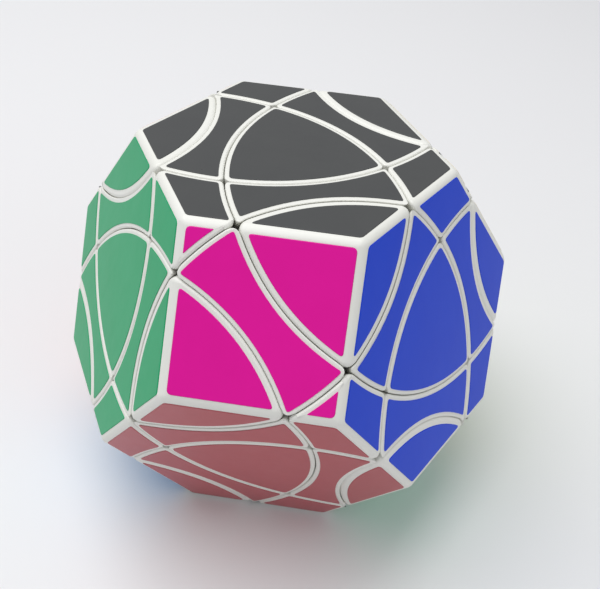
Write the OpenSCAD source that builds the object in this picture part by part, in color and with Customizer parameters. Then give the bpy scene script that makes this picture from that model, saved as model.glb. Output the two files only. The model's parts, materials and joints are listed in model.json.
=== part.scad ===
/* [Puzzle] */
// Distance between two opposite square faces
across_squares = 80; // [78:1:82]
// Gap between neighbouring pieces at the surface
piece_gap = 0.3; // [0.2:0.05:0.4]
// Radius that a cut gains per unit of height along its axis
cut_slope = 0.75; // [0.7:0.05:0.8]
// How much wider a cut is than one that meets its neighbour on an edge of the solid
cut_widening = 1.95; // [1.7:0.05:2]
// Radius of the round underside of the outer shell
shell_r = 33.5; // [33.3:0.1:33.7]

/* [Stalks and feet] */
// Radius at which the feet stop and the flanges above them begin
foot_top_r = 25; // [24.5:0.25:25.5]
// Radius of the hollow in which the core sits
hollow_r = 19.5; // [19.25:0.25:20]
// Clearance between a foot or a stalk and what passes over it
under_gap = 0.4; // [0.3:0.05:0.5]
// Radius of a corner's stalk
corner_stalk_r = 4; // [3.6:0.1:4.2]
// Length of an edge's stalk, along the line between its two axes
edge_stalk_l = 12; // [10:0.5:12]
// Width of an edge's stalk
edge_stalk_w = 7.6; // [6:0.2:7.8]
// Width of the web from an edge's stalk up to its shell
edge_web_w = 1.6; // [1.2:0.1:1.7]
// Width of the web from an edge's stalk down to its foot
edge_ankle_w = 4; // [3:0.2:4.4]
// Radius of a centre's flange
flange_r = 6.2; // [5.8:0.1:6.3]
// Radius of the neck between a centre's flange and its shell
centre_neck_r = 4; // [3.8:0.1:4.1]

/* [Core and axles] */
// Radius of the ball in the middle of the core
ball_r = 11; // [10:0.5:12]
// Radius of the twelve arms and of the stems that turn on them
stem_r = 4.6; // [4.4:0.1:4.7]
// Distance of the arms' ends from the puzzle's centre
arm_end = 19; // [18.5:0.1:19]
// Running clearance between an arm and its stem
stem_gap = 0.2; // [0.15:0.05:0.3]
// Radius of the screw's shank
screw_r = 1.45; // [1.3:0.05:1.5]
// Radius of the screw's head
head_r = 2.5; // [2.3:0.1:2.6]
// Height of the screw's head
head_h = 2; // [1.6:0.1:2.2]
// Depth of the screw below the end of its arm
screw_depth = 9; // [7:0.5:10]

/* [Springs] */
// Radius of the pocket that holds the spring
pocket_r = 3; // [2.9:0.05:3.1]
// Thickness of the pocket's floor
pocket_floor = 2.8; // [2.4:0.1:3]
// Radius of the spring's wire
wire_r = 0.3; // [0.25:0.05:0.35]
// Turns of the spring
spring_turns = 4; // [3:1:5]
// Compressed length of the spring
spring_h = 5.6; // [5:0.1:6]
// Thickness of the washer on the spring
washer_h = 0.6; // [0.5:0.1:0.8]

/* [Centre caps] */
// Height of the joint between a centre's base and its cap
cap_joint_h = 32.6; // [32.2:0.1:32.7]
// Depth of the plug under a cap
plug_h = 1.6; // [1:0.1:2]
// Clearance of the plug in its pocket
plug_gap = 0.06; // [0.05:0.01:0.1]

/* [Hidden] */
$fn = 96;
SIDES = ["front", "right", "left"];
LAYER_NODES = [for (s = SIDES) each concat(
    [str(s, "_base"), str(s, "_cap")],
    [for (n = [1:5]) str(s, "_edge_", n)],
    [for (n = [1:5]) str(s, "_corner_", n)]
)];

golden = (1 + sqrt(5)) / 2;
// The vertices of the truncated octahedron are the permutations of (0, 1, 2) times this unit.
unit = across_squares / 4;
square_dist = 2 * unit;
hexagon_dist = sqrt(3) * unit;
reach = 3 * unit;
axis_angle = acos(1 / sqrt(5));

// Where two axes are equally far from an edge of the solid, as height along the axis and radius from it.
cross_step = 2 - golden;
cross_h = unit * (golden * cross_step + 2) / sqrt(golden * golden + 1);
cross_r = sqrt(unit * unit * (pow(cross_step, 2) + pow(1 - cross_step, 2) + 4) - cross_h * cross_h);
function cut_radius(h) = cross_r + cut_widening + cut_slope * (h - cross_h);

// Each cut moves by this much along its axis, inwards or outwards, to open the gap.
half_shift = piece_gap / 2 / sin(atan(cut_slope));
cone_low = hollow_r / 2;
cone_high = 2.45 * unit;
foot_dist = stem_r + piece_gap;
foot_apex = foot_dist / sin(axis_angle);
over_feet_r = foot_top_r + under_gap / 2;
under_shell_r = shell_r + under_gap / 2;
stalk_low = foot_top_r - 2;
stalk_high = shell_r + 0.8;
edge_stalk_low = over_feet_r + 0.1;
edge_stalk_high = 0.965 * shell_r;
web_high = 1.8 * unit;
piece_r = 1.1 * unit;
piece_low = 0.8 * shell_r;

arm_low = 0.8 * ball_r;
seat_h = arm_end + stem_gap;
floor_h = seat_h + pocket_floor;
spring_low = floor_h + 0.1;
washer_low = spring_low + spring_h;
head_low = washer_low + washer_h;
bore_r = screw_r + stem_gap;
thread_r = screw_r + 0.05;
coil_r = pocket_r - 0.25 - wire_r;
washer_r = pocket_r - 0.2;
slot_w = 0.8;
slot_depth = 1;
plug_low = cap_joint_h - plug_h;
wire_sides = 4;
steps_per_turn = 10;

// The puzzle's own frame has its square faces across X, Y and Z. These are the rows of the turn
// that stands it on a hexagon, with a square towards the front.
STAND = [[1, -1, 0] / sqrt(2), [1, 1, -2] / sqrt(6), [1, 1, 1] / sqrt(3)];
function cycle(v, n) = n == 0 ? v : cycle([v.z, v.x, v.y], n - 1);
function unit_of(v) = v / norm(v);

// The turns and mirrorings that leave the solid as it is: cycle the coordinates, then change signs.
SYMMETRIES = [for (n = [0:2]) for (x = [1, -1]) for (y = [1, -1]) for (z = [1, -1]) [n, [x, y, z]]];
function moved(e, v) = let (c = cycle(v, e[0])) [c.x * e[1].x, c.y * e[1].y, c.z * e[1].z];
function carrying(from, to) = [for (e = SYMMETRIES) if (norm(moved(e, from) - to) < 0.01) e];

// Four rings of three turn axes: top, upper, lower and bottom.
RINGS = [[0, 1, golden], [0, -1, golden], [-golden, 0, 1], [-1, -golden, 0]];
AXES = [for (r = RINGS) for (n = [0:2]) unit_of(cycle(r, n))];
TOP = 0;
UPPER = 1;
LOWER = 2;
BOTTOM = 3;
function at(ring, step) = 3 * ring + step % 3;
function adjacent(a, b) = a != b && AXES[a] * AXES[b] > 0.4;
function neighbours(a) = [for (k = [0:11]) if (adjacent(a, k)) k];
function shared(a, b) = [for (k = [0:11]) if (adjacent(a, k) && adjacent(b, k)) k];

// The five neighbours of an upper axis, in order round it, as ring and step from that axis.
AROUND = [[TOP, 0], [TOP, 1], [LOWER, 1], [BOTTOM, 0], [LOWER, 0]];
function neighbour(side, n) = at(AROUND[n % 5][0], AROUND[n % 5][1] + side);

// One of each shape: a large corner and a small one, an edge on a square and one on a hexagon, and a cap.
CORNER_MODELS = [[3, 0, 1], [0, 1, 2]];
EDGE_MODELS = [[3, 0], [0, 1]];
CAP_MODEL = 3;

HEXAGON_NORMALS = [[1, 1, 1], [-1, 1, 1], [1, -1, 1], [1, 1, -1]];

module along(v) rotate([0, acos(v.z / norm(v)), atan2(v.y, v.x)]) children();

module on_axis(a) along(AXES[a]) children();

// Stands the puzzle on its hexagon.
module standing() {
    translate([0, 0, hexagon_dist])
        multmatrix([for (row = STAND) [row.x, row.y, row.z, 0]]) children();
}

// Carries one piece to the place of another of the same shape.
module carried(from, to) {
    e = carrying(from, to)[0];
    x = moved(e, [1, 0, 0]);
    y = moved(e, [0, 1, 0]);
    z = moved(e, [0, 0, 1]);
    multmatrix([[x.x, y.x, z.x, 0], [x.y, y.y, z.y, 0], [x.z, y.z, z.z, 0]]) children();
}

module slab(normal) along(normal) cube([2 * reach, 2 * reach, 2 * hexagon_dist], center = true);

module blank() {
    intersection() {
        cube(2 * square_dist, center = true);
        slab(HEXAGON_NORMALS[0]);
        slab(HEXAGON_NORMALS[1]);
        slab(HEXAGON_NORMALS[2]);
        slab(HEXAGON_NORMALS[3]);
    }
}

// The outside of one layer is a steep cone round its axis.
module shell_space(a, shift) {
    on_axis(a) translate([0, 0, cone_low + shift])
        cylinder(r1 = cut_radius(cone_low), r2 = cut_radius(cone_high), h = cone_high - cone_low);
}

// The feet of one layer lie in a wide cone whose side runs beside the next axis's stem.
module foot_space(a, shift) {
    low = cone_low - foot_apex;
    high = foot_top_r + 2 - foot_apex;
    on_axis(a) translate([0, 0, cone_low + shift])
        cylinder(r1 = low * tan(axis_angle), r2 = high * tan(axis_angle), h = high - low);
}

module foot_shell() {
    difference() {
        sphere(foot_top_r - under_gap / 2);
        sphere(hollow_r);
    }
}

// The part of the solid's outside that lies round one line from its centre.
module outside_near(v, r, low) {
    intersection() {
        blank();
        along(v) translate([0, 0, low]) cylinder(r = r, h = reach);
    }
}

// A corner piece lies in three layers.
module model_corner(a, b, c) {
    line = corner_line(a, b, c);
    union() {
        difference() {
            intersection() {
                outside_near(line, piece_r, piece_low);
                shell_space(a, half_shift);
                shell_space(b, half_shift);
                shell_space(c, half_shift);
            }
            sphere(under_shell_r);
        }
        along(line) translate([0, 0, stalk_low]) cylinder(r = corner_stalk_r, h = stalk_high - stalk_low);
        intersection() {
            foot_shell();
            foot_space(a, half_shift);
            foot_space(b, half_shift);
            foot_space(c, half_shift);
        }
    }
}

// Places things on the line half way between two axes, with X towards the first axis.
module between(a, b) {
    z = unit_of(AXES[a] + AXES[b]);
    x = unit_of(AXES[a] - AXES[b]);
    y = cross(z, x);
    multmatrix([[x.x, y.x, z.x, 0], [x.y, y.y, z.y, 0], [x.z, y.z, z.z, 0]]) children();
}

module standing_block(l, w, low, high) translate([-l / 2, -w / 2, low]) cube([l, w, high - low]);

// Takes the layers in a list away from the children, one after another.
module outside_layers(list, n) {
    difference() {
        if (n == 0) children();
        else outside_layers(list, n - 1) children();
        shell_space(list[n], -half_shift);
    }
}

// An edge piece lies in two layers and outside the two layers next to both.
module model_edge(a, b) {
    out = shared(a, b);
    union() {
        difference() {
            outside_layers(out, 1) intersection() {
                outside_near(edge_line(a, b), piece_r, piece_low);
                shell_space(a, half_shift);
                shell_space(b, half_shift);
            }
            sphere(under_shell_r);
        }
        between(a, b) {
            standing_block(edge_stalk_l, edge_web_w, edge_stalk_high - 1, web_high);
            standing_block(edge_stalk_l, edge_stalk_w, edge_stalk_low, edge_stalk_high);
            standing_block(edge_stalk_l, edge_ankle_w, stalk_low, edge_stalk_low + 1);
        }
        difference() {
            intersection() {
                foot_shell();
                foot_space(a, half_shift);
                foot_space(b, half_shift);
            }
            foot_space(out[0], -half_shift);
            foot_space(out[1], -half_shift);
        }
    }
}

// A centre lies in one layer only, so its shell is what its neighbours leave round its axis.
module model_cap(a) {
    union() {
        difference() {
            outside_layers(neighbours(a), 4) outside_near(AXES[a], cross_r / 2, cap_joint_h - 2);
            sphere(under_shell_r);
        }
        on_axis(a) translate([0, 0, cap_joint_h]) cylinder(r = centre_neck_r, h = web_high - cap_joint_h);
        on_axis(a) translate([0, 0, plug_low]) cylinder(r = pocket_r - plug_gap, h = plug_h + 1);
    }
}

// Pieces that look alike are all one model, carried round the puzzle.
function corner_line(a, b, c) = AXES[a] + AXES[b] + AXES[c];
function edge_line(a, b) = AXES[a] + AXES[b];
function matches(from, to) = len(carrying(from, to)) > 0;

module corner_piece(a, b, c) {
    line = corner_line(a, b, c);
    model = [for (m = CORNER_MODELS) if (matches(corner_line(m[0], m[1], m[2]), line)) m][0];
    color("whitesmoke") standing() carried(corner_line(model[0], model[1], model[2]), line)
        model_corner(model[0], model[1], model[2]);
}

module edge_piece(a, b) {
    line = edge_line(a, b);
    model = [for (m = EDGE_MODELS) if (matches(edge_line(m[0], m[1]), line)) m][0];
    color("whitesmoke") standing() carried(edge_line(model[0], model[1]), line)
        model_edge(model[0], model[1]);
}

module centre_cap(a) {
    color("whitesmoke") standing() carried(AXES[CAP_MODEL], AXES[a]) model_cap(CAP_MODEL);
}

module centre_base(a) {
    color("gainsboro") standing() on_axis(a) difference() {
        union() {
            translate([0, 0, seat_h]) cylinder(r = stem_r, h = over_feet_r + 1 - seat_h);
            translate([0, 0, over_feet_r + 0.1])
                cylinder(r = flange_r, h = cap_joint_h - over_feet_r - 0.1);
        }
        cylinder(r = bore_r, h = reach);
        translate([0, 0, floor_h]) cylinder(r = pocket_r, h = reach);
    }
}

module core() {
    color("dimgray") standing() difference() {
        union() {
            on_axis(0) rotate([90, 0, 0]) sphere(ball_r);
            for (a = [0:11]) on_axis(a) translate([0, 0, arm_low]) cylinder(r = stem_r, h = arm_end - arm_low);
        }
        for (a = [0:11]) on_axis(a) translate([0, 0, arm_end - screw_depth - 1])
            cylinder(r = thread_r, h = screw_depth + 2);
    }
}

module axle_screws() {
    color("silver") standing() for (a = [0:11]) on_axis(a) difference() {
        union() {
            translate([0, 0, arm_end - screw_depth])
                cylinder(r = screw_r, h = head_low + head_h / 2 - arm_end + screw_depth);
            translate([0, 0, head_low]) cylinder(r = head_r, h = head_h);
        }
        for (t = [0, 90]) rotate([0, 0, t]) translate([0, 0, head_low + head_h])
            cube([2 * head_r - 1.2, slot_w, 2 * slot_depth], center = true);
    }
}

module spring_washers() {
    color("lightgrey") standing() for (a = [0:11]) on_axis(a) translate([0, 0, washer_low]) difference() {
        cylinder(r = washer_r, h = washer_h);
        translate([0, 0, -1]) cylinder(r = bore_r, h = washer_h + 2);
    }
}

// The wire of one spring as rings of points along a helix.
module spring_wire() {
    count = spring_turns * steps_per_turn;
    rise = (spring_h - 2 * wire_r) / count;
    points = [for (i = [0:count]) for (k = [0:wire_sides - 1])
        let (t = 360 * i / steps_per_turn, w = 360 * (k + 0.5) / wire_sides, r = coil_r + wire_r * cos(w))
        [r * cos(t), r * sin(t), wire_r + i * rise + wire_r * sin(w)]];
    sides = [for (i = [0:count - 1]) for (k = [0:wire_sides - 1])
        let (n = wire_sides * i, m = (k + 1) % wire_sides)
        each [[n + k, n + wire_sides + k, n + m], [n + m, n + wire_sides + k, n + wire_sides + m]]];
    last = wire_sides * count;
    ends = [[0, 1, 2, 3], [last + 3, last + 2, last + 1, last]];
    polyhedron(points, concat(sides, ends));
}

module tension_springs() {
    color("lightsteelblue") standing() for (a = [0:11]) on_axis(a) translate([0, 0, spring_low]) spring_wire();
}

module fixed_bases() {
    for (r = [TOP, LOWER, BOTTOM]) for (n = [0:2]) centre_base(at(r, n));
}

// Three edge pieces, a third of a turn apart about the vertical.
module edge_set(ring_a, step_a, ring_b, step_b) {
    for (n = [0:2]) edge_piece(at(ring_a, step_a + n), at(ring_b, step_b + n));
}

core();
axle_screws();
tension_springs();
spring_washers();
fixed_bases();
edge_set(TOP, 0, TOP, 1);  // top_edges
edge_set(TOP, 0, LOWER, 0);  // side_edges
edge_set(LOWER, 0, BOTTOM, 0);  // lower_edges_a
edge_set(LOWER, 0, BOTTOM, 2);  // lower_edges_b
edge_set(BOTTOM, 0, BOTTOM, 1);  // bottom_edges
corner_piece(at(TOP, 0), at(TOP, 1), at(TOP, 2));  // top_corner
corner_piece(at(BOTTOM, 0), at(BOTTOM, 1), at(BOTTOM, 2));  // bottom_corner
for (s = [0:2]) {
    centre_cap(at(TOP, s));
    centre_cap(at(LOWER, s));
    centre_cap(at(BOTTOM, s));
    corner_piece(at(LOWER, s), at(BOTTOM, s), at(BOTTOM, s + 2));
    centre_base(at(UPPER, s));
    centre_cap(at(UPPER, s));
    for (n = [1:5]) {
        edge_piece(at(UPPER, s), neighbour(s, n - 1));
        corner_piece(at(UPPER, s), neighbour(s, n - 1), neighbour(s, n));
    }
}
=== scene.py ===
import json
import math

import bmesh
import bpy
import numpy as np
from mathutils import Matrix, Vector


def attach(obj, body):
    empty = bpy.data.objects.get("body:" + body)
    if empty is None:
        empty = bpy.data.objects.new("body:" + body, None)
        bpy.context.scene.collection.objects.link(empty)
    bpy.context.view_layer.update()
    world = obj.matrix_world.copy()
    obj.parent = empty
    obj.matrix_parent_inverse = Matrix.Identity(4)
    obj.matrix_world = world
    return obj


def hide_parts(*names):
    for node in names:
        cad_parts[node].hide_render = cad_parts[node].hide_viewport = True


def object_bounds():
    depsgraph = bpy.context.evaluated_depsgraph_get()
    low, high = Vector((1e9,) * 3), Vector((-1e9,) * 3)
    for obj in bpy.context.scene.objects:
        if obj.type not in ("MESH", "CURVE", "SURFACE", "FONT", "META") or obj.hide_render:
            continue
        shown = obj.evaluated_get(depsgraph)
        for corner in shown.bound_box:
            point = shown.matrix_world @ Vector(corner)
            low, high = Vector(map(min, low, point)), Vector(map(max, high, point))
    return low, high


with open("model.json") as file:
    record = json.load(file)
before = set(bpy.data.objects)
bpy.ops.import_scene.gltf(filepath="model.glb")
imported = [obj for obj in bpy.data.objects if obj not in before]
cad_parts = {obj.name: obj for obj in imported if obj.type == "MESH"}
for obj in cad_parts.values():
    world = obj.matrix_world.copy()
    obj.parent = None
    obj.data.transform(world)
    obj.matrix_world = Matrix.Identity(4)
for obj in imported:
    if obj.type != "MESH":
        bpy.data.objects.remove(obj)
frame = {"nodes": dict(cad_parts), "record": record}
cadLow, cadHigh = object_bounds()
print("frame loaded:", len(frame["nodes"]), "nodes")

# The corners of the solid are the permutations of (0, 1, 2) times this unit. It stands on a hexagon.
unit = (cadHigh.z - cadLow.z) / math.sqrt(12)
golden = (1 + math.sqrt(5)) / 2
centreHeight = unit * math.sqrt(3)

cuts = {
    "gap": 0.00014,  # seen between neighbouring pieces
    "slope": 0.75,  # radius that a cut gains per unit of height along its axis
    "widening": 0.00195,  # beyond a cut that meets its neighbour on an edge of the solid
    "arcStep": 0.0017,
    "fewestSteps": 4,
}


def direction(*numbers):
    v = np.array(numbers, float)
    return v / np.linalg.norm(v)


def cycled(v, times=1):
    for _ in range(times):
        v = np.array([v[2], v[0], v[1]])
    return v


# Four rings of three turn axes, top, upper, lower and bottom, in the puzzle's own frame.
sideNames = ("front", "right", "left")
ringStarts = {
    "top": (0, 1, golden),
    "upper": (0, -1, golden),
    "lower": (-golden, 0, 1),
    "bottom": (-1, -golden, 0),
}
axes = {}
for ringName, start in ringStarts.items():
    for turn in range(3):
        axes[ringName, turn] = cycled(direction(*start), turn)
standing = np.array([direction(1, -1, 0), direction(1, 1, -2), direction(1, 1, 1)])


def stood(points):
    return np.asarray(points) @ standing.T + np.array([0, 0, centreHeight])


# Where two axes are equally far from an edge of the solid. A cone is its axis, its slope and the
# height of its tip.
crossStep = 2 - golden
crossHeight = unit * (golden * crossStep + 2) / math.sqrt(golden ** 2 + 1)
crossDistance = unit * math.sqrt(crossStep ** 2 + (1 - crossStep) ** 2 + 4)
crossRadius = math.sqrt(crossDistance ** 2 - crossHeight ** 2) + cuts["widening"]


def cutCone(axis, side, inset=0.0):
    # side is 1 for a piece inside the layer and -1 for one outside it
    shift = side * (cuts["gap"] / 2 + inset) / math.sin(math.atan(cuts["slope"]))
    return axis, cuts["slope"], shift + crossHeight - crossRadius / cuts["slope"]


def onCone(cone):
    axis, slope, tip = cone
    return lambda p: np.linalg.norm(p - (p @ axis) * axis) - slope * (p @ axis - tip)


def onPlane(normal, distance, weight=1):
    return lambda p: weight * (p @ normal - distance)


def onBall(radius):
    return lambda p: np.linalg.norm(p) - radius


def meeting(surfaces, start):
    # Newton's method, which settles on the nearest point where more than three surfaces nearly meet
    step = unit * 1e-5
    point = np.array(start, float)
    for _ in range(15):
        values = np.array([surface(point) for surface in surfaces])
        slopes = np.array([
            [(surface(point + e) - surface(point - e)) / (2 * step) for e in np.eye(3) * step]
            for surface in surfaces
        ])
        point = point - np.linalg.lstsq(slopes, values, rcond=None)[0]
    return point


def arc(cone, start, end, count, plane=None, ball=None):
    # the cone's line on a plane or a ball, from start to end
    axis, slope, tip = cone
    across = direction(*(start - (start @ axis) * axis))
    around = np.cross(axis, across)
    angle = math.atan2(end @ around, end @ across)
    points = [start]
    for n in range(1, count):
        out = math.cos(angle * n / count) * across + math.sin(angle * n / count) * around
        if ball:
            a, b, c = 1 + slope ** 2, slope ** 2 * tip, slope ** 2 * tip ** 2 - ball ** 2
            height = (b + math.sqrt(b ** 2 - a * c)) / a
        else:
            normal, distance = plane
            lean = slope * (out @ normal)
            height = (distance + lean * tip) / (axis @ normal + lean)
        points.append(height * axis + slope * (height - tip) * out)
    return points + [end]


def facePlane(face, depth=0.0):
    # a square or a hexagon of the solid, named by its direction
    distance = 2 * unit if sum(map(abs, face)) == 1 else centreHeight
    return direction(*face), distance - depth


# One of each kind of piece. Each cut is its axis, the side of it that the piece is on, the face of
# the solid that it crosses, and about where it starts, in units. Pieces over a corner of the solid name it.
squareFace, hexFace = (0, 0, 1), (1, 1, 1)
rightHexFace, leftHexFace = (1, -1, 1), (-1, 1, 1)
backAxis, rightAxis, farAxis = axes["top", 0], axes["top", 1], axes["top", 2]
nearAxis, leftAxis, leftUpAxis = axes["upper", 0], axes["lower", 0], axes["upper", 2]
squareCross = [(x * crossStep, y * (1 - crossStep), 2) for x, y in ((-1, 1), (1, 1), (1, -1), (-1, -1))]
hexCross = (2 - (1 - crossStep), 0, 1 + (1 - crossStep))
hexInner = [(0.45, 1.08, 1.47), (1.08, 1.47, 0.45), (1.47, 0.45, 1.08)]
kinds = {
    "cap": {
        "axes": (backAxis,),
        "corner": (0, 1, 2),
        "cuts": (
            (nearAxis, -1, squareFace, squareCross[0]),
            (rightAxis, -1, hexFace, squareCross[1]),
            (farAxis, -1, hexFace, hexInner[0]),
            (leftUpAxis, -1, leftHexFace, (0, golden, 3 - golden)),
            (leftAxis, -1, leftHexFace, (-0.45, 1.08, 1.47)),
        ),
    },
    "largeCorner": {
        "axes": (backAxis, nearAxis, rightAxis),
        "corner": (1, 0, 2),
        "cuts": (
            (rightAxis, 1, squareFace, squareCross[2]),
            (nearAxis, 1, hexFace, squareCross[1]),
            (backAxis, 1, rightHexFace, hexCross),
        ),
    },
    "smallCorner": {
        "axes": (backAxis, rightAxis, farAxis),
        "corner": None,
        "cuts": (
            (backAxis, 1, hexFace, hexInner[2]),
            (rightAxis, 1, hexFace, hexInner[1]),
            (farAxis, 1, hexFace, hexInner[0]),
        ),
    },
    "squareEdge": {
        "axes": (backAxis, nearAxis),
        "corner": None,
        "cuts": (
            (rightAxis, -1, squareFace, squareCross[1]),
            (backAxis, 1, squareFace, squareCross[2]),
            (leftAxis, -1, squareFace, squareCross[3]),
            (nearAxis, 1, squareFace, squareCross[0]),
        ),
    },
    "hexEdge": {
        "axes": (backAxis, rightAxis),
        "corner": None,
        "cuts": (
            (nearAxis, -1, hexFace, squareCross[1]),
            (backAxis, 1, hexFace, hexCross),
            (farAxis, -1, hexFace, hexInner[2]),
            (rightAxis, 1, hexFace, hexInner[0]),
        ),
    },
}


film = {
    "border": 0.0008,  # bare plastic between a cut and the film
    "foldBorder": 0.00115,  # bare plastic between an edge of the solid and the film
    "thickness": 0.00012,
    "lip": 0.00005,
    "cornerRadius": 0.00085,
    "cornerSteps": 6,
    "cornerRoom": 0.45,  # share of the shorter side that a rounded corner may take
}
shell = {
    "underside": 0.0337,  # radius of the round underside
    "rimRadius": 0.0004,
    "foldRadius": 0.0011,  # along the edges of the solid
    "cornerRadius": 0.0012,  # where two cuts meet
    "underRadius": 0.0003,
    "bevelSteps": 4,
    "planeWeight": 20,  # keeps a corner on its planes where cuts and planes don't quite meet
}


def stepsAlong(start, end):
    return max(cuts["fewestSteps"], round(np.linalg.norm(end - start) / cuts["arcStep"]))


def cutLines(kind):
    # the top line of every cut of a piece and the line below it on the underside
    rows = kind["cuts"]
    cones = [cutCone(axis, side) for axis, side, face, guess in rows]
    tops, lows = [], []
    for n, (axis, side, face, guess) in enumerate(rows):
        pair = [onCone(cones[n - 1]), onCone(cones[n])]
        faces = {rows[n - 1][2], face}
        if guess[2] == 2:  # beside a square, where the corner is kept on the edge of the solid
            faces = {squareFace, (np.sign(guess[0]), np.sign(guess[1]), 1)}
        planes = [onPlane(*facePlane(f, film["thickness"]), shell["planeWeight"]) for f in faces]
        tops.append(meeting(pair + planes, np.array(guess) * unit))
        under = tops[-1] * shell["underside"] / np.linalg.norm(tops[-1])
        lows.append(meeting(pair + [onBall(shell["underside"])], under))
    lines = []
    for n, (axis, side, face, guess) in enumerate(rows):
        after = (n + 1) % len(rows)
        count = stepsAlong(tops[n], tops[after])
        plane = facePlane(face, film["thickness"])
        top = arc(cones[n], tops[n], tops[after], count, plane=plane)
        low = arc(cones[n], lows[n], lows[after], count, ball=shell["underside"])
        lines.append((face, top, low))
    return lines


def facesInOrder(rows):
    return list(dict.fromkeys(row[2] for row in rows))


def addLoop(mesh, points):
    return [mesh.verts.new(p) for p in points]


def addWall(mesh, upper, lower):
    for n in range(len(upper)):
        after = (n + 1) % len(upper)
        mesh.faces.new((upper[n], upper[after], lower[after], lower[n]))


def addDome(mesh, loop, radius, rings=3):
    # closes a loop on a ball with rings that shrink to its middle
    middle = sum((v.co for v in loop), Vector()).normalized() * radius
    for ring in range(1, rings):
        shrunk = [v.co.lerp(middle, ring / rings).normalized() * radius for v in loop]
        inner = addLoop(mesh, shrunk)
        addWall(mesh, loop if ring == 1 else last, inner)
        last = inner
    tip = mesh.verts.new(middle)
    for n in range(len(last)):
        mesh.faces.new((last[n], last[(n + 1) % len(last)], tip))


def rounded(mesh, layer, verts, radius):
    # marks the edges among these corners for the bevel, which is as wide as the widest of them
    verts = set(verts)
    for edge in mesh.edges:
        if edge.verts[0] in verts and edge.verts[1] in verts:
            edge[layer] = radius / shell["cornerRadius"]


def addShell(mesh, layer, kind):
    lines = cutLines(kind)
    upper = addLoop(mesh, [p for face, top, low in lines for p in top[:-1]])
    lower = addLoop(mesh, [p for face, top, low in lines for p in low[:-1]])
    addWall(mesh, upper, lower)
    addDome(mesh, lower, shell["underside"])
    rounded(mesh, layer, upper, shell["rimRadius"])
    rounded(mesh, layer, lower, shell["underRadius"])
    starts = np.cumsum([0] + [len(top) - 1 for face, top, low in lines])
    for start in starts[:-1]:
        mesh.edges.get((upper[start], lower[start]))[layer] = 1.0
    if kind["corner"] is None:
        mesh.faces.new(upper)
        return
    faces = facesInOrder(kind["cuts"])
    planes = [onPlane(*facePlane(face, film["thickness"])) for face in faces]
    tip = mesh.verts.new(meeting(planes, np.array(kind["corner"]) * unit))
    for face in faces:
        rows = [n for n, line in enumerate(lines) if line[0] == face]
        first, last = starts[rows[0]], starts[rows[-1] + 1]
        rim = [upper[n % len(upper)] for n in range(first, last + 1)]
        mesh.faces.new(rim + [tip])
    for edge in tip.link_edges:
        edge[layer] = shell["foldRadius"] / shell["cornerRadius"]


foot = {
    "top": 0.0248,
    "hollow": 0.0195,
    "stem": 0.0046,
    "reach": 0.45,  # about how far its corners stand out, beside those of the shell
    "slope": 2.0,
    "arcSteps": 10,
}


def footCone(axis, side):
    shift = side * cuts["gap"] / 2 / math.sin(math.atan(cuts["slope"]))
    tip = (foot["stem"] + cuts["gap"]) / math.sin(math.atan(foot["slope"]))
    return axis, foot["slope"], tip + shift


def addFoot(mesh, layer, kind):
    # the foot lies between two balls, inside the wide cones of its layers and outside the others'
    rows = [(axis, side) for axis, side, face, guess in kind["cuts"]]
    cones = [footCone(axis, side) for axis, side in rows]
    middle = direction(*sum(kind["axes"]))
    reach = [direction(*guess) for axis, side, face, guess in kind["cuts"]]
    loops = []
    for radius in (foot["top"], foot["hollow"]):
        corners = []
        for n, (axis, side) in enumerate(rows):
            guess = direction(*(middle + foot["reach"] * (reach[n] - middle)))
            pair = [onCone(cones[n - 1]), onCone(cones[n])]
            corners.append(meeting(pair + [onBall(radius)], guess * radius))
        points = []
        for n, cone in enumerate(cones):
            after = corners[(n + 1) % len(cones)]
            points += arc(cone, corners[n], after, foot["arcSteps"], ball=radius)[:-1]
        loops.append(addLoop(mesh, points))
        addDome(mesh, loops[-1], radius)
        rounded(mesh, layer, loops[-1], shell["underRadius"])
    addWall(mesh, *loops)


stalk = {
    "low": 0.0235,
    "high": 0.0343,
    "radius": 0.004,
    "sides": 40,
    "edgeLength": 0.012,
    "edgeBlocks": (  # width, bottom and top of each
        (0.0016, 0.0313, 0.036),
        (0.0076, 0.0253, 0.0323),
        (0.004, 0.0235, 0.0263),
    ),
}


def upright(line):
    # a turn that stands Z on this line
    return Vector(line).to_track_quat("Z", "Y").to_matrix().to_4x4()


def addCylinder(mesh, layer, line, radius, low, high):
    place = upright(line) @ Matrix.Translation((0, 0, (low + high) / 2))
    made = bmesh.ops.create_cone(
        mesh, cap_ends=True, segments=stalk["sides"], radius1=radius, radius2=radius,
        depth=high - low, matrix=place)
    for edge in {e for v in made["verts"] for e in v.link_edges}:
        flat = abs((edge.verts[0].co - edge.verts[1].co).normalized() @ Vector(line)) < 0.5
        edge[layer] = shell["underRadius"] / shell["cornerRadius"] if flat else 0.0


def addBlocks(mesh, layer, kind):
    # the web, the stalk and the ankle of an edge, along the line between its axes
    z = direction(*sum(kind["axes"]))
    x = direction(*(kind["axes"][0] - kind["axes"][1]))
    y = np.cross(z, x)
    turn = Matrix(np.column_stack([x, y, z]).tolist()).to_4x4()
    for width, low, high in stalk["edgeBlocks"]:
        size = Matrix.Diagonal((stalk["edgeLength"], width, high - low, 1))
        place = turn @ Matrix.Translation((0, 0, (low + high) / 2)) @ size
        made = bmesh.ops.create_cube(mesh, size=1, matrix=place)
        rounded(mesh, layer, made["verts"], shell["underRadius"])


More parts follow.
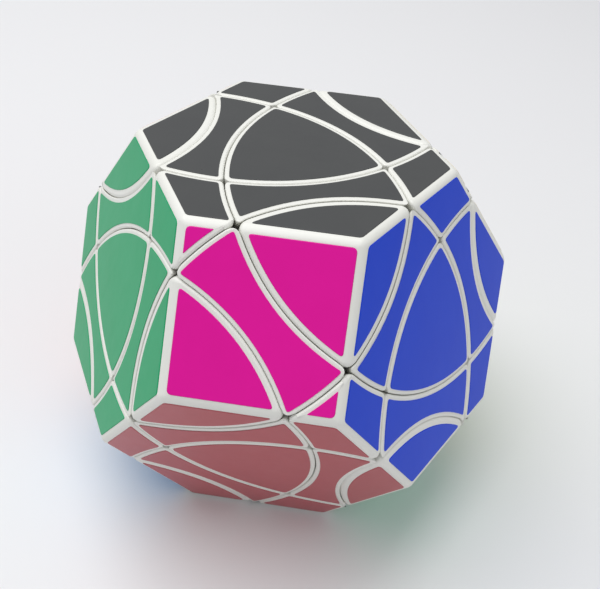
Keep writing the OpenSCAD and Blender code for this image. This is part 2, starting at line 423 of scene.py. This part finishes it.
def bevelled(mesh):
    # the marked edges are rounded by a Bevel modifier, and the result is read back as arrays
    bmesh.ops.recalc_face_normals(mesh, faces=mesh.faces)
    data = bpy.data.meshes.new("kind")
    mesh.to_mesh(data)
    mesh.free()
    thing = bpy.data.objects.new("kind", data)
    bpy.context.scene.collection.objects.link(thing)
    bevel = thing.modifiers.new("rounding", "BEVEL")
    bevel.limit_method = "WEIGHT"
    bevel.width = shell["cornerRadius"]
    bevel.segments = shell["bevelSteps"]
    bevel.use_clamp_overlap = False
    result = bpy.data.meshes.new_from_object(thing.evaluated_get(bpy.context.evaluated_depsgraph_get()))
    shape = withNormals(
        np.array([v.co for v in result.vertices]), [tuple(p.vertices) for p in result.polygons])
    bpy.data.objects.remove(thing)
    bpy.data.meshes.remove(data)
    bpy.data.meshes.remove(result)
    return shape


def withNormals(points, faces):
    # corner normals weighed by area, so that flat faces stay flat beside their rounded rims
    normals = np.zeros((len(points), 3))
    for face in faces:
        corners = points[list(face)]
        area = np.cross(corners, np.roll(corners, -1, axis=0)).sum(axis=0) / 2
        normals[list(face)] += area
    lengths = np.linalg.norm(normals, axis=1, keepdims=True)
    return points, faces, normals / np.maximum(lengths, 1e-20)


neck = {
    "radius": 0.004,
    "low": 0.0326,
    "high": 0.036,
    "plugRadius": 0.00294,
    "plugLow": 0.031,
    "plugOverlap": 0.0005,
}


def buildKind(kind):
    mesh = bmesh.new()
    layer = mesh.edges.layers.float.new("bevel_weight_edge")
    addShell(mesh, layer, kind)
    middle = direction(*sum(kind["axes"]))
    if len(kind["axes"]) == 1:
        addCylinder(mesh, layer, middle, neck["radius"], neck["low"], neck["high"])
        addCylinder(mesh, layer, middle, neck["plugRadius"], neck["plugLow"],
                    neck["low"] + neck["plugOverlap"])
    elif len(kind["axes"]) == 2:
        addBlocks(mesh, layer, kind)
        addFoot(mesh, layer, kind)
    else:
        addCylinder(mesh, layer, middle, stalk["radius"], stalk["low"], stalk["high"])
        addFoot(mesh, layer, kind)
    return bevelled(mesh)


def filmOutline(kind, face, border, depth):
    # a face's cuts and folds moved in by the border, with their corners rounded
    rows = kind["cuts"]
    faces = facesInOrder(rows)
    mine = [n for n, row in enumerate(rows) if row[2] == face]
    plane = facePlane(face, depth)
    edges = []  # each is its surface, its cone if it is a cut, and the corner that it starts from
    for n in mine:
        axis, side, cutFace, guess = rows[n]
        cone = cutCone(axis, side, border)
        edges.append((onCone(cone), cone, np.array(guess) * unit))
    if kind["corner"] is not None:
        place = faces.index(face)
        for other, start in (
            (faces[(place + 1) % len(faces)], np.array(rows[(mine[-1] + 1) % len(rows)][3]) * unit),
            (faces[place - 1], np.array(kind["corner"]) * unit),
        ):
            normal, distance = facePlane(other)
            lean = np.linalg.norm(np.cross(normal, plane[0]))
            inset = border - film["border"] + film["foldBorder"]
            edges.append((onPlane(normal, distance - inset * lean), None, start))
    corners = []
    for n, (surface, cone, start) in enumerate(edges):
        corners.append(meeting([edges[n - 1][0], surface, onPlane(*plane)], start))
    lines = []
    for n, (surface, cone, start) in enumerate(edges):
        end = corners[(n + 1) % len(edges)]
        count = stepsAlong(start, edges[(n + 1) % len(edges)][2])
        lines.append(arc(cone, corners[n], end, count, plane=plane) if cone else [corners[n], end])
    points = []
    for n, line in enumerate(lines):
        before, here, after = lines[n - 1][-2], line[0], line[1]
        points += roundCorner(before, here, after)
        points += line[1:-1]
    return points


def roundCorner(before, here, after):
    back, ahead = before - here, after - here
    room = film["cornerRoom"] * min(np.linalg.norm(back), np.linalg.norm(ahead))
    back, ahead = direction(*back), direction(*ahead)
    half = math.acos(np.clip(back @ ahead, -1, 1)) / 2
    cut = min(film["cornerRadius"] / math.tan(half), room)
    points = []
    for t in np.linspace(0, 1, film["cornerSteps"]):
        points.append(here + cut * ((1 - t) ** 2 * back + t ** 2 * ahead))
    return points


def buildFilm(kind, face):
    lip = film["lip"]
    loops = (
        filmOutline(kind, face, film["border"], film["thickness"] + lip),
        filmOutline(kind, face, film["border"], lip),
        filmOutline(kind, face, film["border"] + lip, 0.0),
    )
    count = len(loops[0])
    points = np.array([p for loop in loops for p in loop])
    faces = [tuple(range(count))[::-1], tuple(range(2 * count, 3 * count))]
    for ring in (0, count):
        for n in range(count):
            after = (n + 1) % count
            faces.append((ring + n, ring + after, ring + count + after, ring + count + n))
    top = points[2 * count:]
    area = np.cross(top, np.roll(top, -1, axis=0)).sum(axis=0)
    if area @ direction(*face) < 0:
        faces = [face[::-1] for face in faces]
    return withNormals(points, faces)


shapes = {}
films = {}
for kindName, kind in kinds.items():
    shapes[kindName] = buildKind(kind)
    films[kindName] = {face: buildFilm(kind, face) for face in facesInOrder(kind["cuts"])}
    print("kind", kindName, len(shapes[kindName][0]), "vertices")


def carrying(start, end):
    # the turn or mirroring of the solid that takes one line to the other, or None
    for times in range(3):
        turn = np.column_stack([cycled(e, times) for e in np.eye(3)])
        for signs in np.ndindex(2, 2, 2):
            matrix = np.diag(1 - 2 * np.array(signs)) @ turn
            if np.linalg.norm(matrix @ start - end) < 1e-6:
                return matrix
    return None


def placed(shape, matrix):
    points, faces, normals = shape
    if np.linalg.det(matrix) < 0:
        faces = [face[::-1] for face in faces]
    return stood(points @ matrix.T), faces, normals @ matrix.T @ standing.T


def makePiece(name, parts, material):
    # joins placed shapes into one mesh that keeps their normals
    points = np.vstack([part[0] for part in parts])
    normals = np.vstack([part[2] for part in parts])
    faces = []
    start = 0
    for part in parts:
        faces += [tuple(start + n for n in face) for face in part[1]]
        start += len(part[0])
    data = bpy.data.meshes.new(name)
    data.from_pydata(points.tolist(), [], faces)
    data.shade_smooth()
    data.normals_split_custom_set_from_vertices(normals.tolist())
    data.materials.append(material)
    piece = bpy.data.objects.new(name, data)
    bpy.context.scene.collection.objects.link(piece)
    return piece


class Tree:
    # a tree of nodes, for shading or for geometry
    def __init__(self, nodeTree):
        self.tree = nodeTree

    def add(self, nodeType, settings=None, **inputs):
        # settings first, then each socket by its name or, as n0 or n1, by its number
        node = self.tree.nodes.new(nodeType)
        for key, value in (settings or {}).items():
            setattr(node, key, value)
        for key, value in inputs.items():
            name = key.replace("_", " ")
            numbered = key[0] == "n" and key[1:].isdigit()
            socket = node.inputs[int(key[1:])] if numbered else node.inputs[name]
            self.feed(socket, value)
        return node

    def feed(self, socket, value):
        if isinstance(value, Value):
            value = value.socket
        if isinstance(value, bpy.types.NodeSocket):
            self.tree.links.new(value, socket)
        else:
            socket.default_value = value

    def value(self, node, output=0):
        return Value(self, node.outputs[output])

    def mixed(self, factor, first, second):
        node = self.add("ShaderNodeMix", {"data_type": "RGBA"}, n0=factor, n6=first, n7=second)
        return node.outputs[2]


class Value:
    def __init__(self, tree, socket):
        self.tree = tree
        self.socket = socket

    def maths(self, operation, first, second):
        return self.tree.value(self.tree.add("ShaderNodeMath", {"operation": operation}, n0=first, n1=second))

    def __add__(self, other):
        return self.maths("ADD", self, other)

    def __radd__(self, other):
        return self.maths("ADD", other, self)

    def __sub__(self, other):
        return self.maths("SUBTRACT", self, other)

    def __mul__(self, other):
        return self.maths("MULTIPLY", self, other)

    def __rmul__(self, other):
        return self.maths("MULTIPLY", other, self)


def linear(*levels):
    # 0 to 255 as shown on a screen, to the values that shaders take
    return tuple((n / 255) ** 2.2 for n in levels) + (1.0,)


def shaded(name):
    material = bpy.data.materials.new(name)
    material.use_nodes = True
    material.node_tree.nodes.clear()
    tree = Tree(material.node_tree)
    place = tree.add("ShaderNodeTexCoord").outputs["Object"]
    return material, tree, place


def noise(tree, place, scale, detail=2.0, stretch=(1, 1, 1)):
    if stretch != (1, 1, 1):
        place = tree.add("ShaderNodeMapping", n0=place, Scale=stretch).outputs[0]
    return tree.value(tree.add("ShaderNodeTexNoise", Vector=place, Scale=scale, Detail=detail))


def finished(tree, colour, roughness, normal, **constants):
    shader = tree.add(
        "ShaderNodeBsdfPrincipled", Base_Color=colour, Roughness=roughness, Normal=normal, **constants)
    tree.add("ShaderNodeOutputMaterial", Surface=shader.outputs[0])


def bumped(tree, height, distance):
    return tree.add("ShaderNodeBump", Height=height, Distance=distance).outputs[0]


def mouldedPlastic(name, colour, shade, roughness):
    # satin moulded plastic: a faint cast of tone, fine grain and a slow unevenness from the mould
    material, tree, place = shaded(name)
    cast = noise(tree, place, 45, 3)
    grain = noise(tree, place, 2600, 2)
    flow = noise(tree, place, 160, 2)
    base = tree.mixed(0.9 * (cast - 0.3), colour, shade)
    finished(tree, base, roughness + 0.12 * (grain - 0.5) + 0.1 * (flow - 0.5),
             bumped(tree, 0.25 * grain + flow, 0.00006))
    return material


def vinylFilm(name, colour, deep):
    # glossy film with faint streaks from the roller, slow ripples of the glue and a fine peel
    material, tree, place = shaded(name)
    streaks = noise(tree, place, 1, 3, (520, 520, 45))
    ripples = noise(tree, place, 130, 2)
    peel = noise(tree, place, 1500, 1)
    base = tree.mixed(0.7 * (ripples - 0.25) + 0.25 * (streaks - 0.5), colour, deep)
    finished(tree, base, 0.3 + 0.08 * (streaks - 0.5) + 0.03 * (peel - 0.5),
             bumped(tree, 0.15 * streaks + ripples + 0.02 * peel, 0.00006), Specular_IOR_Level=0.25)
    return material


def brushedSteel(name):
    material, tree, place = shaded(name)
    turning = noise(tree, place, 1, 2, (4000, 4000, 700))
    stain = noise(tree, place, 300, 3)
    base = tree.mixed(stain, linear(190, 192, 196), linear(150, 150, 152))
    finished(tree, base, 0.26 + 0.14 * turning, bumped(tree, turning, 0.00003), Metallic=1.0)
    return material


shellWhite = mouldedPlastic("white_plastic", linear(238, 238, 232), linear(231, 231, 221), 0.36)
basePlastic = mouldedPlastic("grey_white_plastic", linear(222, 222, 216), linear(212, 211, 202), 0.42)
corePlastic = mouldedPlastic("dark_plastic", linear(58, 59, 62), linear(48, 48, 52), 0.45)
steel = brushedSteel("steel")
print("plastics and steel ready")

# The colour of each face of the solid, by its direction, with a deeper tone for its unevenness.
filmColours = {
    # The black film on the top face is lifted well above a true black: partly its own colour, partly a
    # painted reflection of the bright surroundings, in both its tone and its deeper tone.
    "black": ((1, 1, 1), (80, 81, 81), (73, 74, 75)),
    "magenta": ((0, 0, 1), (234, 24, 158), (224, 20, 149)),
    "green": ((-1, 1, 1), (0, 164, 106), (0, 155, 98)),
    "blue": ((1, -1, 1), (0, 68, 216), (0, 61, 207)),
    # The pink film faces downward, and its colour is darkened below its own pink: partly its own colour,
    # partly painted shade, in both its tone and its deeper tone.
    "pink": ((-1, -1, 1), (184, 94, 100), (177, 88, 94)),
    "sky": ((-1, 0, 0), (110, 178, 236), (96, 166, 228)),
    "mint": ((0, -1, 0), (130, 222, 178), (116, 212, 166)),
    "cream": ((1, 0, 0), (232, 222, 196), (226, 214, 186)),
    "orange": ((0, 1, 0), (238, 122, 26), (228, 108, 18)),
    "yellow": ((0, 0, -1), (242, 208, 44), (234, 196, 30)),
    "purple": ((-1, -1, -1), (110, 52, 160), (98, 42, 146)),
    "grey": ((1, 1, -1), (160, 162, 166), (148, 150, 154)),
    "red": ((-1, 1, -1), (206, 30, 34), (190, 22, 28)),
    "lime": ((1, -1, -1), (150, 202, 52), (138, 190, 40)),
}
filmMaterials = {}
for filmName, (face, colour, deep) in filmColours.items():
    filmMaterials[filmName] = vinylFilm(filmName + "_film", linear(*colour), linear(*deep))
faceFilms = {face: filmName for filmName, (face, colour, deep) in filmColours.items()}


# The pieces of the puzzle, by the frame's nodes: each is the axes of the layers that it lies in.
def triple(*rings):
    # three alike, a third of a turn apart
    return [[axes[ring, (turn + n) % 3] for ring, turn in rings] for n in range(3)]


neighbours = (("top", 0), ("top", 1), ("lower", 1), ("bottom", 0), ("lower", 0))  # of an upper axis


def beside(side, n):
    ring, turn = neighbours[n % 5]
    return axes[ring, (turn + side) % 3]


nodePieces = {
    "top_edges": triple(("top", 0), ("top", 1)),
    "side_edges": triple(("top", 0), ("lower", 0)),
    "lower_edges_a": triple(("lower", 0), ("bottom", 0)),
    "lower_edges_b": triple(("lower", 0), ("bottom", 2)),
    "bottom_edges": triple(("bottom", 0), ("bottom", 1)),
    "top_corner": triple(("top", 0), ("top", 1), ("top", 2))[:1],
    "bottom_corner": triple(("bottom", 0), ("bottom", 1), ("bottom", 2))[:1],
}
for side, sideName in enumerate(sideNames):
    for ring in ("top", "lower", "bottom"):
        nodePieces[f"{ring}_{sideName}_cap"] = [[axes[ring, side]]]
    nodePieces[f"lower_{sideName}_corner"] = [
        [axes["lower", side], axes["bottom", side], axes["bottom", (side + 2) % 3]]]
    mine = axes["upper", side]
    nodePieces[f"{sideName}_cap"] = [[mine]]
    for n in range(5):
        nodePieces[f"{sideName}_edge_{n + 1}"] = [[mine, beside(side, n)]]
        nodePieces[f"{sideName}_corner_{n + 1}"] = [[mine, beside(side, n), beside(side, n + 1)]]

bodyOf = {}
for bodyName, members in frame["record"]["behaviour"]["bodies"].items():
    for member in members:
        bodyOf[member] = bodyName

filmParts = {}
for nodeName, pieces in nodePieces.items():
    parts = []
    for lines in pieces:
        target = sum(lines)
        for kindName, kind in kinds.items():
            matrix = carrying(sum(kind["axes"]), target) if len(kind["axes"]) == len(lines) else None
            if matrix is None:
                continue
            parts.append(placed(shapes[kindName], matrix))
            for face, shape in films[kindName].items():
                shown = tuple(int(round(n)) for n in matrix @ np.array(face))
                key = bodyOf[nodeName], faceFilms[shown]
                filmParts.setdefault(key, []).append(placed(shape, matrix))
    piece = makePiece(nodeName + "_shell", parts, shellWhite)
    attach(piece, bodyOf[nodeName])
    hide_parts(nodeName)
print("shells made:", len(nodePieces))

for (bodyName, filmName), parts in filmParts.items():
    piece = makePiece(f"{filmName}_film_{bodyName}", parts, filmMaterials[filmName])
    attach(piece, bodyName)
    "sticker_" + filmName
print("films made:", sum(len(parts) for parts in filmParts.values()))

for nodeName, node in frame["nodes"].items():
    if nodeName == "core" or nodeName.endswith("base") or nodeName == "fixed_bases":
        material = corePlastic if nodeName == "core" else basePlastic
        for slot in node.material_slots:
            slot.material = material


# The turned and wound parts stand on all twelve axes, and geometry nodes set them there.
screw = {
    "seat": 0.0283,  # of the head, from the middle of the puzzle
    "shankRadius": 0.00145,
    "shankLow": 0.01,
    "headRadius": 0.0025,
    "headHeight": 0.002,
    "slotWidth": 0.0008,
    "slotDepth": 0.001,
    "threadWire": 0.00012,
    "threadTurns": 13.0,
    "threadPitch": 0.0006,
    "threadStart": 0.0004,  # above the end of the shank
    "threadSteps": 16,
    "threadSides": 4,
    "slotReach": 1.6,  # length of the slots beside the head's radius
}
washer = {"seat": 0.0277, "outer": 0.0028, "bore": 0.00165, "height": 0.0006}
spring = {
    "seat": 0.0221,
    "wire": 0.0003,
    "coil": 0.00245,
    "turns": 4.0,
    "height": 0.005,
    "steps": 24,  # in each turn
    "sides": 10,
}


def onAllAxes(name, distance, sizes, buildOne, material):
    # a point on each axis carries one copy of what buildOne makes from the named sizes
    data = bpy.data.meshes.new(name)
    data.from_pydata([tuple(axis @ standing.T * distance) for axis in axes.values()], [], [])
    piece = bpy.data.objects.new(name, data)
    bpy.context.scene.collection.objects.link(piece)
    group = bpy.data.node_groups.new(name, "GeometryNodeTree")
    tree = Tree(group)
    group.interface.new_socket("Points", in_out="INPUT", socket_type="NodeSocketGeometry")
    names = {}
    for key in list(sizes) + ["puzzle centre"]:
        names[key] = group.interface.new_socket(key, in_out="INPUT", socket_type="NodeSocketFloat")
    group.interface.new_socket("Parts", in_out="OUTPUT", socket_type="NodeSocketGeometry")
    given = tree.add("NodeGroupInput")
    values = {key: Value(tree, given.outputs[key]) for key in names}
    one = buildOne(tree, values)
    place = tree.add("GeometryNodeInputPosition").outputs[0]
    turn = tree.add("FunctionNodeAlignRotationToVector", {"axis": "Z"}, Vector=place).outputs[0]
    copies = tree.add("GeometryNodeInstanceOnPoints", Points=given.outputs[0], Instance=one, Rotation=turn)
    raised = lifted(tree, copies.outputs[0], values["puzzle centre"])
    real = tree.add("GeometryNodeRealizeInstances", Geometry=raised)
    smooth = tree.add("GeometryNodeSetShadeSmooth", Geometry=real.outputs[0], Shade_Smooth=True)
    coated = tree.add("GeometryNodeSetMaterial", Geometry=smooth.outputs[0], Material=material)
    tree.add("NodeGroupOutput", n0=coated.outputs[0])
    modifier = piece.modifiers.new(name, "NODES")
    modifier.node_group = group
    for key, value in {**sizes, "puzzle centre": centreHeight}.items():
        modifier[names[key].identifier] = value
    made = bpy.data.meshes.new_from_object(piece.evaluated_get(bpy.context.evaluated_depsgraph_get()))
    piece.modifiers.clear()
    piece.data = made
    made.set_sharp_from_angle(angle=math.radians(35))
    return piece


def lifted(tree, shape, height):
    lift = tree.add("ShaderNodeCombineXYZ", Z=height).outputs[0]
    return tree.add("GeometryNodeTransform", Geometry=shape, Translation=lift).outputs[0]


def rod(tree, radius, low, high, sides=48):
    # a cylinder between two heights
    cylinder = tree.add(
        "GeometryNodeMeshCylinder", {"fill_type": "NGON"}, Vertices=sides, Radius=radius, Depth=high - low)
    return lifted(tree, cylinder.outputs[0], (high + low) * 0.5)


def bar(tree, length, width, middle, height):
    size = tree.add("ShaderNodeCombineXYZ", X=length, Y=width, Z=height).outputs[0]
    block = tree.add("GeometryNodeMeshCube", Size=size)
    return lifted(tree, block.outputs[0], middle)


def cutAway(tree, body, *tools):
    node = tree.add("GeometryNodeMeshBoolean", {"operation": "DIFFERENCE", "solver": "EXACT"}, n0=body)
    for tool in tools:
        tree.tree.links.new(tool, node.inputs[1])
    return node.outputs[0]


def coil(tree, radius, turns, height, wire, steps, sides):
    path = tree.add(
        "GeometryNodeCurveSpiral", Resolution=steps, Rotations=turns,
        Start_Radius=radius, End_Radius=radius, Height=height)
    section = tree.add("GeometryNodeCurvePrimitiveCircle", Resolution=sides, Radius=wire)
    wound = tree.add(
        "GeometryNodeCurveToMesh",
        Curve=path.outputs[0], Profile_Curve=section.outputs[0], Fill_Caps=True)
    return wound.outputs[0]


def joined(tree, *parts):
    node = tree.add("GeometryNodeJoinGeometry")
    for part in parts:
        tree.tree.links.new(part, node.inputs[0])
    return node.outputs[0]


def buildScrew(tree, size):
    head = rod(tree, size["head radius"], 0, size["head height"])
    length = screw["slotReach"] * size["head radius"]
    lines = bar(tree, length, size["slot width"], size["head height"], 2 * size["slot depth"])
    across = bar(tree, size["slot width"], length, size["head height"], 2 * size["slot depth"])
    crossed = cutAway(tree, cutAway(tree, head, lines), across)
    shank = rod(tree, size["shank radius"], -1 * size["shank length"], 0.4 * size["head height"])
    turned = coil(
        tree, size["shank radius"], size["thread turns"], size["thread pitch"] * size["thread turns"],
        size["thread wire"], screw["threadSteps"], screw["threadSides"])
    thread = lifted(tree, turned, -1 * size["shank length"] + screw["threadStart"])
    return joined(tree, crossed, shank, thread)


def buildWasher(tree, size):
    disc = rod(tree, size["outer radius"], 0, size["height"])
    hole = rod(tree, size["bore radius"], -1 * size["height"], 2 * size["height"])
    return cutAway(tree, disc, hole)


def buildSpring(tree, size):
    wound = coil(
        tree, size["coil radius"], size["turns"], size["height"], size["wire radius"],
        spring["steps"], spring["sides"])
    return lifted(tree, wound, size["wire radius"])


screws = onAllAxes("screws", screw["seat"], {
    "head radius": screw["headRadius"],
    "head height": screw["headHeight"],
    "shank radius": screw["shankRadius"],
    "shank length": screw["seat"] - screw["shankLow"],
    "slot width": screw["slotWidth"],
    "slot depth": screw["slotDepth"],
    "thread wire": screw["threadWire"],
    "thread turns": screw["threadTurns"],
    "thread pitch": screw["threadPitch"],
}, buildScrew, steel)
washers = onAllAxes("washers", washer["seat"], {
    "outer radius": washer["outer"],
    "bore radius": washer["bore"],
    "height": washer["height"],
}, buildWasher, steel)
springs = onAllAxes("springs", spring["seat"], {
    "coil radius": spring["coil"],
    "wire radius": spring["wire"],
    "turns": spring["turns"],
    "height": spring["height"],
}, buildSpring, steel)
for piece, nodeName in ((screws, "axle_screws"), (washers, "spring_washers"), (springs, "tension_springs")):
    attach(piece, bodyOf[nodeName])
    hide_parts(nodeName)
print("screws, washers and springs placed")

studio = {
    "floorSize": 3.0,
    "floorColour": (0.83, 0.83, 0.84, 1.0),
    "worldColour": (0.93, 0.94, 0.97, 1.0),
    "worldStrength": 0.39,
    "keyPower": 6.0,
    "keySize": 0.8,
    "keyPlace": (-0.22, 0.08, 0.8),
    "fillPower": 0.8,
    "fillSize": 0.6,
    "fillPlace": (0.7, -0.45, 0.5),
}
floorData = bpy.data.meshes.new("floor")
half = studio["floorSize"] / 2
floorCorners = [(-half, -half, 0), (half, -half, 0), (half, half, 0), (-half, half, 0)]
floorData.from_pydata(floorCorners, [], [(0, 1, 2, 3)])
floorThing = bpy.data.objects.new("floor", floorData)
bpy.context.scene.collection.objects.link(floorThing)
floorMaterial, floorTree, floorPlace = shaded("pale_table")
tone = noise(floorTree, floorPlace, 3, 2)
floorColour = floorTree.mixed(tone, studio["floorColour"], tuple(0.985 * n for n in studio["floorColour"]))
finished(floorTree, floorColour, 0.5 + 0.1 * tone, bumped(floorTree, tone, 0.0001))
floorData.materials.append(floorMaterial)

world = bpy.data.worlds.new("studio")
world.use_nodes = True
background = world.node_tree.nodes["Background"]
background.inputs["Color"].default_value = studio["worldColour"]
background.inputs["Strength"].default_value = studio["worldStrength"]
bpy.context.scene.world = world
middle = Vector((0, 0, centreHeight))
for lightName in ("key", "fill"):
    lamp = bpy.data.lights.new(lightName, "AREA")
    lamp.energy = studio[lightName + "Power"]
    lamp.size = studio[lightName + "Size"]
    light = bpy.data.objects.new(lightName, lamp)
    light.location = studio[lightName + "Place"]
    light.rotation_euler = (middle - light.location).to_track_quat("-Z", "Y").to_euler()
    bpy.context.scene.collection.objects.link(light)
bpy.context.scene.view_settings.view_transform = "Standard"

camera = {
    "aim": (0.00295, 0.00114, 0.00107),  # from the middle of the puzzle
    "distance": 0.1615,
    "azimuth": 4.52,
    "elevation": 40.14,
    "roll": 4.87,
    "lens": 48.25,
    "clipStart": 0.005,
}
turned, raised = math.radians(camera["azimuth"]), math.radians(camera["elevation"])
back = Vector((math.sin(turned) * math.cos(raised), -math.cos(turned) * math.cos(raised), math.sin(raised)))
level = Vector((math.cos(turned), math.sin(turned), 0))
roll = Matrix.Rotation(math.radians(camera["roll"]), 3, back)
across = roll @ level
viewerData = bpy.data.cameras.new("camera")
viewerData.lens = camera["lens"]
viewerData.clip_start = camera["clipStart"]
viewer = bpy.data.objects.new("camera", viewerData)
facing = Matrix((across, back.cross(across), back)).transposed().to_4x4()
viewer.matrix_world = Matrix.Translation(middle + Vector(camera["aim"]) + back * camera["distance"]) @ facing
bpy.context.scene.collection.objects.link(viewer)
bpy.context.scene.camera = viewer
print("studio set")
